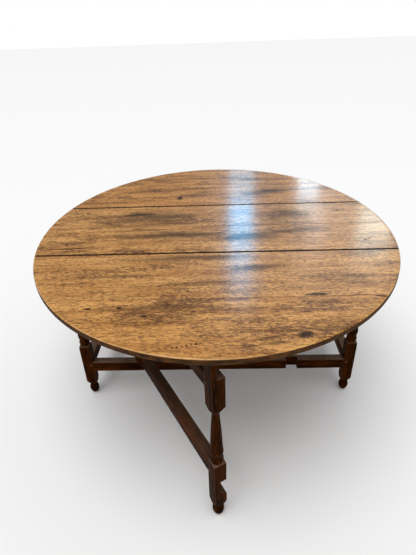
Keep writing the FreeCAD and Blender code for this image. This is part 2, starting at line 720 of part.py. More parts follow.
def make_table():
    oval = make_oval()
    for side in ("front", "back"):
        make_boards(side, oval)
        for hand in (-1, 1):
            make_frame_leg(f"leg_{side}_{other_hand(hand, side)}", hand, side)
        for kind in FRAME_RAILS:
            make_long_rail(kind, side)
            make_end_rail(kind, side)
        node(rail_pegs(f"{side}_frame_pegs", [-1, 1]), side)
        node(end_pegs(f"{other_hand(-1, side)}_end_pegs", -1, [-1, 1]), side)
        make_gate_post(side)
        make_gate_leg(side)
        for kind in GATE_RAILS:
            make_gate_rail(kind, side)
        gate_node(gate_pegs(f"{side}_gate_pegs", [POST_PEG, GATE_LEG_PEG]), side)
        make_gate_stop(side)
        make_hinges(side)
    node(top_pegs("top_pegs", [-1, 1]))


def write_nodes():
    """Check every object and every finished piece, then write one file for each piece."""
    doc.recompute()
    broken = [thing.Label for thing in doc.Objects if {"Invalid", "Error"} & set(thing.State)]
    broken += [piece.Label for piece in nodes
               if piece.Shape.isNull() or not piece.Shape.isValid() or piece.Shape.Volume <= 0]
    if broken:
        raise RuntimeError(f"not sound: {sorted(set(broken))}")
    os.makedirs("parts", exist_ok=True)
    for piece in nodes:
        piece.Shape.exportStep(f"parts/{piece.Label}.step")


make_table()
write_nodes()
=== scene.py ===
"""The looks of the gateleg table: a waxed honey oak top on a dark oak frame with iron hinges.

The object's frame is in metres with +Z up: X runs along the hinge lines, Y across the top.
"""

import json
import math

import bmesh
import bpy
from mathutils import Matrix, Vector, noise


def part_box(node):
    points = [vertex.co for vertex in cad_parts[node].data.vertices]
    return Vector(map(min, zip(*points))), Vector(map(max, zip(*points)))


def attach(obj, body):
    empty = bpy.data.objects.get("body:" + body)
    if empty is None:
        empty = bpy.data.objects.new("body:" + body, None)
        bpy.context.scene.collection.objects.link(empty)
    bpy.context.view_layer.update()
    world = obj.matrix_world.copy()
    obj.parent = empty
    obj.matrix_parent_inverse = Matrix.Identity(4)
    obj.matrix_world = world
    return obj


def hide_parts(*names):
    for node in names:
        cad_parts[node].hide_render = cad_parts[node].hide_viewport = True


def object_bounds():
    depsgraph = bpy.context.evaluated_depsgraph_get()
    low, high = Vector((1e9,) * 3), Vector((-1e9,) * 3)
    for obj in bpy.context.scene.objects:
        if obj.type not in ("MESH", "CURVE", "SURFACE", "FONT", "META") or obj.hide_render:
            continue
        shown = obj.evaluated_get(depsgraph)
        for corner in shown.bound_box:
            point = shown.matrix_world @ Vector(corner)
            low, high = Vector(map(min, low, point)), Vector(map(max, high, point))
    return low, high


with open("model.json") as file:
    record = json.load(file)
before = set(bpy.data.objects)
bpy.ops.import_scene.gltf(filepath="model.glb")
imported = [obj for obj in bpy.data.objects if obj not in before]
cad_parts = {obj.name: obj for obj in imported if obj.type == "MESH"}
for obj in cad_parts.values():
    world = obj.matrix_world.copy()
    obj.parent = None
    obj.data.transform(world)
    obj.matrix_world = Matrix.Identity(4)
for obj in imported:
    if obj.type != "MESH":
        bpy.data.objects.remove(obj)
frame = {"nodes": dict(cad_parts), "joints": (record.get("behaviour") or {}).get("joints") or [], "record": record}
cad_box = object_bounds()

# Places that come from the frame
TOP_LEVEL = cad_box[1].z
HALF_LENGTH, HALF_WIDTH = cad_box[1].x, cad_box[1].y
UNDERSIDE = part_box("centre_board_front")[0].z
HINGE_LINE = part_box("centre_board_back")[1].y
GATE_OPENING = math.radians(next(
    joint["range_deg"][1] for joint in frame["joints"] if joint["name"] == "front_gate_swing"))


def paint(red, green, blue):
    """A colour given in everyday values from 0 to 255, as the linear colour that shaders take."""
    shares = [level / 255 for level in (red, green, blue)]
    linear = [s / 12.92 if s <= 0.04045 else ((s + 0.055) / 1.055) ** 2.4 for s in shares]
    return (*linear, 1.0)


# Node trees

class Tree:
    """Short calls for a node tree. Each makes one node and returns one of its outputs."""

    def __init__(self, tree):
        self.tree = tree

    def node(self, kind, inputs=(), out=0, **settings):
        made = self.tree.nodes.new(kind)
        for name, setting in settings.items():
            setattr(made, name, setting)
        for socket, source in dict(inputs).items():
            self.feed(made.inputs[socket], source)
        return made.outputs[out] if made.outputs else made

    def feed(self, socket, source):
        if isinstance(source, bpy.types.NodeSocket):
            self.tree.links.new(source, socket)
        else:
            socket.default_value = source

    def math(self, operation, first, second=0.0):
        return self.node("ShaderNodeMath", {0: first, 1: second}, operation=operation)

    def times(self, first, second):
        return self.math("MULTIPLY", first, second)

    def plus(self, first, second):
        return self.math("ADD", first, second)

    def less(self, first, second):
        return self.math("SUBTRACT", first, second)

    def step(self, value, low, high):
        """0 below low, 1 above high and smooth between; low may be the larger of the two."""
        return self.node("ShaderNodeMapRange", {"Value": value, "From Min": low, "From Max": high},
                         interpolation_type="SMOOTHSTEP")

    def mix(self, share, first, second, blend="MIX"):
        return self.node("ShaderNodeMix", {0: share, 6: first, 7: second}, out=2,
                         data_type="RGBA", blend_type=blend)

    def between(self, share, first, second):
        return self.node("ShaderNodeMix", {0: share, 2: first, 3: second}, data_type="FLOAT")

    def stain(self, colour, value, low, high, strength, shade):
        """Lay a shade over a colour where the value goes from low to high, up to a strength."""
        return self.mix(self.times(self.step(value, low, high), strength), colour, shade)

    def shift(self, place, offset):
        return self.node("ShaderNodeVectorMath", {0: place, 1: offset}, operation="ADD")

    def stretch(self, place, scale):
        return self.node("ShaderNodeVectorMath", {0: place, 1: scale}, operation="MULTIPLY")

    def noise(self, place, scale=1.0, detail=2.0, roughness=0.5, distortion=0.0):
        return self.node("ShaderNodeTexNoise", {"Vector": place, "Scale": scale, "Detail": detail,
                                                "Roughness": roughness, "Distortion": distortion})

    def parts(self, vector):
        split = self.tree.nodes.new("ShaderNodeSeparateXYZ")
        self.feed(split.inputs[0], vector)
        return split.outputs

    def vector(self, x=0.0, y=0.0, z=0.0):
        return self.node("ShaderNodeCombineXYZ", {0: x, 1: y, 2: z})

    def group(self, effect, inputs, out):
        return self.node("ShaderNodeGroup", inputs, out=out, node_tree=effect)


def new_effect(name, inputs, outputs):
    """An empty node group, with the outputs of its entry and the inputs of its exit."""
    effect = bpy.data.node_groups.new(name, "ShaderNodeTree")
    for label, default in inputs.items():
        kind = "NodeSocketVector" if isinstance(default, tuple) else "NodeSocketFloat"
        effect.interface.new_socket(label, in_out="INPUT", socket_type=kind).default_value = default
    for label in outputs:
        effect.interface.new_socket(label, in_out="OUTPUT", socket_type="NodeSocketFloat")
    entry, leave = effect.nodes.new("NodeGroupInput"), effect.nodes.new("NodeGroupOutput")
    return effect, Tree(effect), entry.outputs, leave.inputs


# Effects that several materials share

def make_oak_grain():
    """Oak figure. Place has X along the grain, in metres; Wander is how far growth lines stray."""
    effect, tree, given, result = new_effect(
        "Oak grain", {"Place": (0.0, 0.0, 0.0), "Seed": 0.0, "Wander": 0.012, "Fineness": 1.0},
        ["Growth", "Streaks", "Speckle", "Flecks", "Pores", "Clouds"])
    log = tree.vector(*(tree.times(given["Seed"], apart) for apart in (7.3, 3.1, 1.7)))
    place = tree.shift(given["Place"], log)
    stray = tree.less(tree.noise(tree.stretch(place, (1.7, 5.0, 5.0)), detail=3), 0.5)
    strayed = tree.shift(place, tree.vector(0.0, tree.times(stray, given["Wander"]), 0.0))
    fine = tree.node("ShaderNodeVectorMath", {0: strayed, "Scale": given["Fineness"]},
                     operation="SCALE")
    # Each figure: where it is read, its changes to the metre along each axis, and its noise
    for figure, read_at, fineness, noise_settings in (
            ("Growth", fine, (3.0, 30, 18), {"detail": 4, "roughness": 0.62}),
            ("Streaks", fine, (9, 160, 90), {"detail": 5, "roughness": 0.72}),
            ("Speckle", fine, (62, 175, 110), {"detail": 5, "roughness": 0.78, "distortion": 0.12}),
            ("Flecks", fine, (75, 230, 150), {"detail": 3, "roughness": 0.72}),
            ("Pores", fine, (120, 1500, 800), {"detail": 2, "roughness": 0.6}),
            ("Clouds", place, (3.4, 13, 13), {"detail": 5, "roughness": 0.66})):
        tree.feed(result[figure], tree.noise(tree.stretch(read_at, fineness), **noise_settings))
    return effect


def make_mark():
    """One mark on a surface: a long soft-edged patch about a centre, ragged by a given share."""
    effect, tree, given, result = new_effect(
        "Mark", {"Place": (0.0, 0.0, 0.0), "Centre": (0.0, 0.0, 0.0), "Length": 0.1, "Width": 0.02,
                 "Turn": 0.0, "Ragged": 0.4, "Softness": 0.5}, ["Mask"])
    away = tree.node("ShaderNodeVectorMath", {0: given["Place"], 1: given["Centre"]},
                     operation="SUBTRACT")
    turned = tree.node("ShaderNodeVectorRotate", {
        "Vector": away, "Angle": tree.times(given["Turn"], -1.0)}, rotation_type="Z_AXIS")
    x, y, _ = tree.parts(turned)
    along = tree.math("DIVIDE", x, tree.times(given["Length"], 0.5))
    across = tree.math("DIVIDE", y, tree.times(given["Width"], 0.5))
    radius = tree.math("SQRT", tree.plus(tree.times(along, along), tree.times(across, across)))
    tatters = tree.vector(tree.times(along, 2.2), tree.times(across, 1.3))
    rag = tree.less(tree.noise(tatters, detail=4), 0.5)
    frayed = tree.plus(radius, tree.times(tree.times(rag, 2.0), given["Ragged"]))
    tree.feed(result["Mask"], tree.step(frayed, 1.0, tree.less(1.0, given["Softness"])))
    return effect


def make_edge_wear():
    """Where a surface turns sharply within the radius, broken up so that wear comes in patches."""
    effect, tree, given, result = new_effect(
        "Edge wear", {"Place": (0.0, 0.0, 0.0), "Radius": 0.003, "Patches": 40.0}, ["Mask"])
    rounded = tree.node("ShaderNodeBevel", {"Radius": given["Radius"]}, samples=6)
    true_normal = tree.node("ShaderNodeNewGeometry", out="Normal")
    agreement = tree.node("ShaderNodeVectorMath", {0: rounded, 1: true_normal}, out="Value",
                          operation="DOT_PRODUCT")
    edge = tree.step(agreement, 0.995, 0.86)
    patch = tree.step(tree.noise(given["Place"], given["Patches"], detail=3), 0.38, 0.62)
    tree.feed(result["Mask"], tree.times(edge, tree.between(patch, 0.35, 1.0)))
    return effect


def make_dust_and_painted_light():
    """Dust and pale wax bloom, with painted light, on faces that look upward; thicker in drifts."""
    effect, tree, given, result = new_effect(
        "Dust and painted light", {"Place": (0.0, 0.0, 0.0), "Drifts": 18.0}, ["Mask"])
    facing = tree.parts(tree.node("ShaderNodeNewGeometry", out="Normal"))[2]
    drifts = tree.noise(given["Place"], given["Drifts"], detail=4, roughness=0.6)
    thickness = tree.between(tree.step(drifts, 0.25, 0.75), 0.5, 1.0)
    tree.feed(result["Mask"], tree.times(tree.step(facing, 0.55, 0.98), thickness))
    return effect


def make_worked_surface():
    """Height of a hand-planed and polished face: slow hollows, with open grain in them."""
    effect, tree, given, result = new_effect(
        "Worked surface", {"Place": (0.0, 0.0, 0.0), "Streaks": 0.5, "Pores": 0.5, "Hollows": 1.0,
                           "Grain": 1.0}, ["Height"])
    hollow = tree.noise(tree.stretch(given["Place"], (5.0, 14.0, 14.0)), detail=2)
    ripple = tree.noise(tree.stretch(given["Place"], (22.0, 60.0, 60.0)), detail=1)
    slow = tree.times(tree.plus(hollow, tree.times(ripple, 0.2)), given["Hollows"])
    open_grain = tree.plus(tree.times(given["Streaks"], 0.5), tree.times(given["Pores"], 0.18))
    tree.feed(result["Height"], tree.plus(slow, tree.times(open_grain, given["Grain"])))
    return effect


OAK_GRAIN = make_oak_grain()
MARK = make_mark()
EDGE_WEAR = make_edge_wear()
DUST_AND_PAINTED_LIGHT = make_dust_and_painted_light()
WORKED_SURFACE = make_worked_surface()


# What every material is made with

def new_material(name):
    material = bpy.data.materials.new(name)
    material.use_nodes = True
    material.node_tree.nodes.clear()
    return material, Tree(material.node_tree)


def finish_material(tree, colour, roughness, height, bump_distance, **settings):
    """The Principled shader with its bump. Settings are plain numbers, or outputs that vary."""
    bump = tree.node("ShaderNodeBump", {"Height": height, "Distance": bump_distance})
    inputs = {"Base Color": colour, "Roughness": roughness, "Normal": bump}
    inputs.update({label.replace("_", " "): setting for label, setting in settings.items()})
    shader = tree.node("ShaderNodeBsdfPrincipled", inputs)
    tree.node("ShaderNodeOutputMaterial", {"Surface": shader})


# Turns that bring a piece's grain to X
ALONG_X = (0.0, 0.0, 0.0)
ALONG_Y = (0.0, 0.0, -math.pi / 2)
UPRIGHT = (0.0, math.pi / 2, 0.0)
ALONG_GATE = (0.0, 0.0, GATE_OPENING)


def grain_place(tree, turn):
    """Coordinates on the piece, as they are and with X turned to run along its grain."""
    place = tree.node("ShaderNodeTexCoord", out="Object")
    return place, tree.node("ShaderNodeVectorRotate", {"Vector": place, "Rotation": turn},
                            rotation_type="EULER_XYZ")


def oak_values(tree, place, seed, wander, fineness=1.0):
    """Every output of the oak grain, by name."""
    inputs = {"Place": place, "Seed": seed, "Wander": wander, "Fineness": fineness}
    grain = tree.group(OAK_GRAIN, inputs, "Growth").node
    return {output.name: output for output in grain.outputs}


def worked_height(tree, place, oak, hollows, grain):
    """The height of a planed face whose streaks and pores lie open."""
    return tree.group(WORKED_SURFACE, {
        "Place": place, "Streaks": tree.times(oak["Streaks"], -1.0),
        "Pores": tree.times(tree.step(oak["Pores"], 0.55, 0.7), -1.0),
        "Hollows": hollows, "Grain": grain}, "Height")


# The top

TOP_COLOURS = {
    "pale": paint(226, 168, 96),
    "honey": paint(186, 128, 64),
    "brown": paint(104, 64, 30),
    "dark": paint(36, 20, 9),
    "warm_wash": paint(255, 240, 200),
    # Dirt, with painted shade, for the joints between boards
    "dirt_and_shade": paint(16, 9, 5),
    # Pale rubbed wear with a painted highlight, on the rounded upper edge of the rim
    "rubbed_rim_and_highlight": paint(222, 180, 120),
    # The rim's side face: dark wood, with painted shade
    "rim": paint(84, 50, 20),
    "rim_streak": paint(38, 21, 8),
    "raw": paint(112, 84, 58),
    "raw_streak": paint(62, 44, 30),
}

# Bands round a board, each from where it starts to where it is full: the first two are given
# in metres below the top, the third in metres above the underside
# The rubbed band is the rounded upper edge of the rim, paled by wear and by a painted highlight
RUBBED_AND_HIGHLIGHT_BAND = (0.0004, 0.0011)
RIM_BAND = (0.0022, 0.0040)
RAW_BAND = (0.0016, 0.0002)
# The rubbed rim, with its painted highlight, is where (x / half length)^2 + (y / half width)^2
# passes from one to the other
NEAR_RIM = (0.960, 0.975)

# Dirt and painted shade at a board's long edges, in metres: how far in it reaches, and how far
# in it is full. At a hinge line its reach varies between two values
HINGE_DIRT_AND_SHADE_REACH = (0.0052, 0.0095)
HINGE_DIRT_AND_SHADE_FULL = 0.0030
GLUED_DIRT_AND_SHADE_REACH = 0.0026
GLUED_DIRT_AND_SHADE_FULL = 0.0005
GLUED_DIRT_AND_SHADE_STRENGTH = 0.4
OUTER_EDGE = HALF_WIDTH * 0.97      # beyond this an edge is the rim, not a joint
HINGE_NEARNESS = 0.01               # an edge this close to a hinge line is hinged

# Marks on each board: centre (x, y), length, width, turn in degrees, raggedness, softness, strength
BOARD_MARKS = {
    "centre_board_front": [
        ((-0.565, -0.188), 0.27, 0.011, 3.5, 0.25, 0.5, 0.95),
        ((0.601, -0.151), 0.020, 0.014, 0, 0.3, 0.5, 0.9),
        ((-0.16, -0.085), 0.66, 0.13, -2, 0.8, 0.85, 0.72),
        ((0.14, -0.12), 0.42, 0.12, 1, 0.8, 0.85, 0.66),
        ((0.36, -0.06), 0.42, 0.14, 0, 0.8, 1.0, 0.60),
        ((-0.30, -0.030), 0.34, 0.05, 0, 0.8, 0.9, 0.6),
    ],
    "centre_board_back": [
        ((-0.34, 0.14), 0.30, 0.085, 0, 0.8, 0.8, 0.9),
        ((-0.29, 0.125), 0.035, 0.022, 25, 0.5, 0.5, 0.9),
        ((-0.27, 0.10), 0.66, 0.21, 2, 0.8, 0.9, 0.68),
        ((-0.20, 0.035), 0.46, 0.06, -1, 0.8, 0.9, 0.6),
        ((0.32, 0.10), 0.36, 0.26, 0, 0.8, 1.0, 0.62),
        ((-0.588, 0.179), 0.022, 0.015, 0, 0.3, 0.5, 0.9),
        ((0.552, 0.144), 0.020, 0.015, 0, 0.3, 0.5, 0.9),
        ((-0.06, 0.05), 0.5, 0.025, 0, 0.9, 0.9, 0.4),
    ],
    "front_leaf_inner_board": [
        ((-0.10, -0.285), 0.66, 0.075, 0, 0.8, 0.9, 0.62),
        ((0.17, -0.36), 0.34, 0.06, 2, 0.8, 0.9, 0.5),
        ((-0.02, -0.46), 0.40, 0.05, -1, 0.8, 0.9, 0.5),
        ((-0.30, -0.41), 0.40, 0.04, 0, 0.8, 0.8, 0.45),
        ((0.32, -0.540), 0.10, 0.024, 0, 0.5, 0.6, 0.9),
    ],
    "front_leaf_outer_board": [
        ((0.520, -0.558), 0.070, 0.011, -8, 0.3, 0.5, 0.9),
        ((0.249, -0.736), 0.070, 0.040, 12, 0.5, 0.7, 0.9),
        ((0.150, -0.748), 0.150, 0.016, 10, 0.9, 0.8, 0.6),
        ((-0.20, -0.60), 0.46, 0.05, 0, 0.8, 0.9, 0.5),
        ((-0.385, -0.600), 0.034, 0.014, 0, 0.3, 0.5, 1.0),
        ((-0.29, -0.597), 0.022, 0.012, 0, 0.3, 0.5, 1.0),
        ((-0.21, -0.64), 0.040, 0.012, 0, 0.3, 0.5, 0.8),
        ((0.27, -0.63), 0.05, 0.014, 0, 0.4, 0.6, 0.8),
        ((0.17, -0.77), 0.12, 0.02, 5, 0.9, 0.8, 0.6),
    ],
    "back_leaf_inner_board": [
        ((-0.171, 0.350), 0.036, 0.07, 0, 0.4, 0.6, 0.95),
        ((-0.30, 0.46), 0.34, 0.05, 0, 0.9, 0.9, 0.5),
        ((0.27, 0.42), 0.36, 0.20, 0, 0.8, 1.0, 0.55),
    ],
    "back_leaf_outer_board": [
        ((-0.10, 0.66), 0.35, 0.06, 0, 0.9, 0.9, 0.5),
        ((0.20, 0.62), 0.34, 0.06, 0, 0.9, 0.9, 0.5),
    ],
}

# A row of seven worm holes near the front rim, small and large in turn: x, y and diameter
WORM_HOLE_DEPTH = 0.004
WORM_HOLES = [(-0.113 + 0.0125 * step, -0.786 + 0.0031 * step, 0.0045 + 0.002 * (step % 2))
              for step in range(7)]
# Each has a dark ring a little wider than its mouth
BOARD_MARKS["front_leaf_outer_board"] += [
    ((x, y), diameter * 1.5, diameter * 1.4, 0, 0.2, 0.6, 1.0) for x, y, diameter in WORM_HOLES]

# How far the growth lines of each board stray, its seed, and its share of the warm wash
BOARD_TONES = {
    "centre_board_front": (0.030, 1.3, 0.05),
    "centre_board_back": (0.045, 2.7, 0.0),
    "front_leaf_inner_board": (0.020, 4.1, 0.0),
    "front_leaf_outer_board": (0.024, 5.6, 0.1),
    "back_leaf_inner_board": (0.030, 6.2, 0.55),
    "back_leaf_outer_board": (0.030, 7.9, 0.45),
}


def add_marks(tree, place, colour, name):
    """The colour darkened by each of the board's own marks, and how marked each spot is."""
    tally = 0.0
    for (x, y), length, width, turn, ragged, softness, strength in BOARD_MARKS[name]:
        mask = tree.group(MARK, {
            "Place": place, "Centre": (x, y, TOP_LEVEL), "Length": length, "Width": width,
            "Turn": math.radians(turn), "Ragged": ragged, "Softness": softness}, "Mask")
        tally = tree.math("MAXIMUM", tally, tree.times(mask, strength))
    return tree.mix(tally, colour, TOP_COLOURS["dark"]), tally


def joint_dirt_and_shade(tree, place, across, name):
    """Dirt and painted shade in a ragged line at a board's long edges: thin if glued, broad if hinged."""
    ragged = tree.noise(tree.stretch(place, (34, 160, 90)), detail=4, roughness=0.7)
    grime_and_shade = 0.0
    for edge in (corner.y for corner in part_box(name)):
        if abs(edge) > OUTER_EDGE:
            continue
        gap = tree.math("ABSOLUTE", tree.less(across, edge))
        if abs(abs(edge) - HINGE_LINE) < HINGE_NEARNESS:
            reach = tree.between(tree.step(ragged, 0.35, 0.65), *HINGE_DIRT_AND_SHADE_REACH)
            full, strength = HINGE_DIRT_AND_SHADE_FULL, 1.0
        else:
            reach, full, strength = GLUED_DIRT_AND_SHADE_REACH, GLUED_DIRT_AND_SHADE_FULL, GLUED_DIRT_AND_SHADE_STRENGTH
        line = tree.times(tree.step(gap, reach, full), strength)
        grime_and_shade = tree.math("MAXIMUM", grime_and_shade, line)
    return grime_and_shade


def oak_colour(tree, oak, cloud):
    """Honey oak, with finer and darker figure laid over it in turn; clouded parts are darker."""
    pale, honey, brown, dark = (TOP_COLOURS[tone] for tone in ("pale", "honey", "brown", "dark"))
    streaks, speckle, flecks = oak["Streaks"], oak["Speckle"], oak["Flecks"]

    def by_cloud(clear, clouded):
        return tree.between(cloud, clear, clouded)

    colour = tree.mix(tree.step(oak["Growth"], 0.35, 0.66), pale, honey)
    colour = tree.stain(colour, streaks, 0.50, 0.70, 0.5, brown)
    colour = tree.stain(colour, speckle, by_cloud(0.47, 0.40), by_cloud(0.60, 0.53),
                        by_cloud(0.72, 0.95), brown)
    colour = tree.stain(colour, speckle, 0.61, 0.70, 0.7, dark)
    colour = tree.stain(colour, speckle, 0.44, 0.34, 0.5, pale)
    colour = tree.stain(colour, flecks, by_cloud(0.56, 0.51), by_cloud(0.66, 0.62),
                        by_cloud(0.62, 0.85), dark)
    colour = tree.stain(colour, flecks, 0.44, 0.34, 0.4, pale)
    colour = tree.stain(colour, streaks, 0.655, 0.70, 0.8, dark)
    colour = tree.stain(colour, oak["Pores"], 0.58, 0.70, 0.35, dark)
    return tree.mix(tree.times(cloud, 0.30), colour, brown)


def rim_and_underside(tree, colour, oak, x, y, z):
    """The top's colour carried round its rim, whose side face is dark wood with painted shade, below
    a rubbed upper edge with a painted highlight, and under it, where the wood is raw. Also gives
    the masks of the rim and the underside."""
    streaks = oak["Streaks"]
    below_top = [TOP_LEVEL - depth for depth in RUBBED_AND_HIGHLIGHT_BAND + RIM_BAND]
    along, across = tree.times(x, 1 / HALF_LENGTH), tree.times(y, 1 / HALF_WIDTH)
    outward = tree.plus(tree.times(along, along), tree.times(across, across))
    patches = tree.times(tree.step(outward, *NEAR_RIM), tree.step(oak["Clouds"], 0.62, 0.40))
    # The rounded upper edge near the rim, paled by rubbing and by a painted highlight
    rubbed_and_highlight = tree.times(tree.step(z, *below_top[:2]), patches)
    colour = tree.mix(tree.times(rubbed_and_highlight, 0.45), colour, TOP_COLOURS["rubbed_rim_and_highlight"])
    # The rim's side face: dark wood, with painted shade on it
    rim = tree.step(z, *below_top[2:])
    rim_colour = tree.mix(tree.step(streaks, 0.40, 0.62), TOP_COLOURS["rim"],
                          TOP_COLOURS["rim_streak"])
    colour = tree.mix(rim, colour, rim_colour)
    under = tree.step(z, *(UNDERSIDE + height for height in RAW_BAND))
    raw = tree.mix(tree.step(streaks, 0.38, 0.64), TOP_COLOURS["raw"], TOP_COLOURS["raw_streak"])
    return tree.mix(under, colour, raw), rim, under


def make_board_material(name):
    material, tree = new_material(f"{name}_oak")
    wander, seed, warmth = BOARD_TONES[name]
    place, _ = grain_place(tree, ALONG_X)
    x, y, z = tree.parts(place)
    oak = oak_values(tree, place, seed, wander)
    colour = oak_colour(tree, oak, tree.step(oak["Clouds"], 0.47, 0.66))
    colour = tree.mix(warmth, colour, TOP_COLOURS["warm_wash"], blend="MULTIPLY")
    colour, marked = add_marks(tree, place, colour, name)
    # Dirt and painted shade darken the board along its joints
    grime_and_shade = joint_dirt_and_shade(tree, place, y, name)
    colour = tree.mix(tree.times(grime_and_shade, 0.95), colour, TOP_COLOURS["dirt_and_shade"])
    colour, rim, under = rim_and_underside(tree, colour, oak, x, y, z)

    dull = tree.math("MAXIMUM", rim, tree.math("MAXIMUM", under, grime_and_shade))
    dull = tree.math("MAXIMUM", dull, tree.times(marked, 0.5))
    roughness = tree.between(tree.step(oak["Streaks"], 0.35, 0.65), 0.34, 0.48)
    roughness = tree.between(dull, roughness, 0.75)
    wax = tree.between(tree.step(oak["Clouds"], 0.3, 0.7), 0.75, 0.5)
    finish_material(
        tree, colour, roughness, worked_height(tree, place, oak, 1.0, 0.22), 0.0022,
        Coat_Weight=tree.times(tree.less(1.0, dull), wax), Coat_Roughness=0.17,
        Specular_IOR_Level=0.2, Specular_Tint=(0.9, 0.7, 0.5, 1.0))
    return material


# The dark frame

FRAME_COLOURS = {
    "deep": paint(22, 9, 2),
    "brown": paint(54, 24, 3),
    "red": paint(98, 46, 10),
    # Pale worn edges, which are also a painted highlight on the arrises and turned rings
    "worn": paint(146, 94, 48),
    # Pale dust, with painted light, on faces that look upward
    "dust_and_painted_light": paint(146, 124, 106),
    "pores": paint(12, 7, 4),
}


def make_frame_material(name, turn, seed, dust_and_painted_light_share):
    """Dark oak whose grain runs along the axis that the turn brings to X."""
    material, tree = new_material(name)
    place, along = grain_place(tree, turn)
    oak = oak_values(tree, along, seed, wander=0.008, fineness=1.6)
    brown, deep, red = (FRAME_COLOURS[tone] for tone in ("brown", "deep", "red"))
    colour = tree.mix(tree.step(oak["Growth"], 0.35, 0.65), brown, deep)
    colour = tree.stain(colour, oak["Clouds"], 0.45, 0.7, 0.5, red)
    colour = tree.stain(colour, oak["Streaks"], 0.46, 0.34, 0.6, red)
    colour = tree.stain(colour, oak["Streaks"], 0.50, 0.62, 0.85, deep)
    colour = tree.stain(colour, oak["Pores"], 0.58, 0.70, 0.5, FRAME_COLOURS["pores"])
    # Pale wear on the arrises and turned rings, which also paints a highlight there
    wear = tree.group(EDGE_WEAR, {"Place": place, "Radius": 0.0035, "Patches": 30.0}, "Mask")
    colour = tree.mix(tree.times(wear, 0.6), colour, FRAME_COLOURS["worn"])
    # Faces that look upward, paled by dust and by painted light
    dust_and_painted_light = tree.group(DUST_AND_PAINTED_LIGHT, {"Place": place, "Drifts": 14.0}, "Mask")
    colour = tree.mix(tree.times(dust_and_painted_light, dust_and_painted_light_share), colour, FRAME_COLOURS["dust_and_painted_light"])
    roughness = tree.between(tree.step(oak["Streaks"], 0.35, 0.65), 0.36, 0.52)
    roughness = tree.between(dust_and_painted_light, roughness, 0.8)
    finish_material(
        tree, colour, roughness, worked_height(tree, along, oak, 0.8, 0.3), 0.0016,
        Specular_IOR_Level=0.012, Specular_Tint=(0.9, 0.5, 0.25, 1.0))
    return material


def make_peg_material(name, light, dark):
    """Riven pegs: end grain of fine rings, dark where dirt sits round the head."""
    material, tree = new_material(name)
    place = tree.node("ShaderNodeTexCoord", out="Object")
    rings = tree.noise(place, 900.0, detail=3, roughness=0.7)
    patches = tree.noise(place, 60.0, detail=2)
    colour = tree.mix(tree.step(rings, 0.35, 0.65), light, dark)
    colour = tree.stain(colour, patches, 0.4, 0.7, 0.6, dark)
    wear = tree.group(EDGE_WEAR, {"Place": place, "Radius": 0.0012, "Patches": 120.0}, "Mask")
    colour = tree.mix(tree.times(wear, 0.25), colour, light)
    roughness = tree.between(patches, 0.4, 0.7)
    finish_material(tree, colour, roughness, rings, 0.0004, Coat_Weight=tree.times(patches, 0.3),
                    Coat_Roughness=0.25)
    return material


def make_iron_material(name, bare, scale_black, rust):
    """Forged iron: black scale, a little bare metal on the edges and rust in the hollows."""
    material, tree = new_material(name)
    place = tree.node("ShaderNodeTexCoord", out="Object")
    hammer = tree.noise(place, 130.0, detail=3)
    pits = tree.noise(place, 900.0, detail=3, roughness=0.7)
    rusted = tree.step(tree.plus(hammer, tree.times(pits, 0.35)), 0.62, 0.82)
    wear = tree.group(EDGE_WEAR, {"Place": place, "Radius": 0.001, "Patches": 200.0}, "Mask")
    colour = tree.mix(rusted, scale_black, rust)
    colour = tree.mix(tree.times(wear, 0.6), colour, bare)
    metal = tree.math("MAXIMUM", tree.times(wear, 0.9), tree.times(tree.less(1.0, rusted), 0.6))
    roughness = tree.between(rusted, tree.between(pits, 0.38, 0.6), 0.9)
    finish_material(tree, colour, roughness, tree.plus(hammer, tree.times(pits, 0.2)), 0.0008,
                    Metallic=metal)
    return material


# Putting the finishes on

FRAME_FINISHES = {
    "upright": make_frame_material("dark_oak_upright", UPRIGHT, seed=1.0, dust_and_painted_light_share=0.45),
    "long": make_frame_material("dark_oak_long_rails", ALONG_X, seed=2.0, dust_and_painted_light_share=0.62),
    "end": make_frame_material("dark_oak_end_rails", ALONG_Y, seed=3.0, dust_and_painted_light_share=0.8),
    "gate": make_frame_material("dark_oak_gate_rails", ALONG_GATE, seed=4.0, dust_and_painted_light_share=0.2),
}
PEG_FINISH = make_peg_material(
    "dark_peg_oak", light=paint(84, 52, 30), dark=paint(34, 20, 12))
TOP_PEG_FINISH = make_peg_material(
    "top_peg_oak", light=paint(104, 70, 42), dark=paint(42, 27, 17))
HINGE_FINISH = make_iron_material(
    "forged_iron", bare=paint(120, 116, 110), scale_black=paint(40, 38, 37), rust=paint(74, 44, 28))
NAIL_FINISH = make_iron_material(
    "nail_iron", bare=paint(110, 104, 96), scale_black=paint(46, 41, 37), rust=paint(82, 48, 30))


def finish_for(name):
    """The material of a node, and a label for its kind of material."""
    if name.endswith("nails"):
        return NAIL_FINISH, "nail_iron"
    if "hinge" in name:
        return HINGE_FINISH, "hinge_iron"
    if name == "top_pegs":
        return TOP_PEG_FINISH, "top_peg_oak"
    if name.endswith("pegs"):
        return PEG_FINISH, "peg_oak"
    if "board" in name:
        return make_board_material(name), "top_oak"
    if "leg" in name or "post" in name:
        return FRAME_FINISHES["upright"], "frame_oak"
    if "gate" in name:
        return FRAME_FINISHES["gate"], "frame_oak"
    return FRAME_FINISHES["end" if "end" in name else "long"], "frame_oak"


# Wood worn by hands and years: softened arrises, plane hollows, splits and worm holes

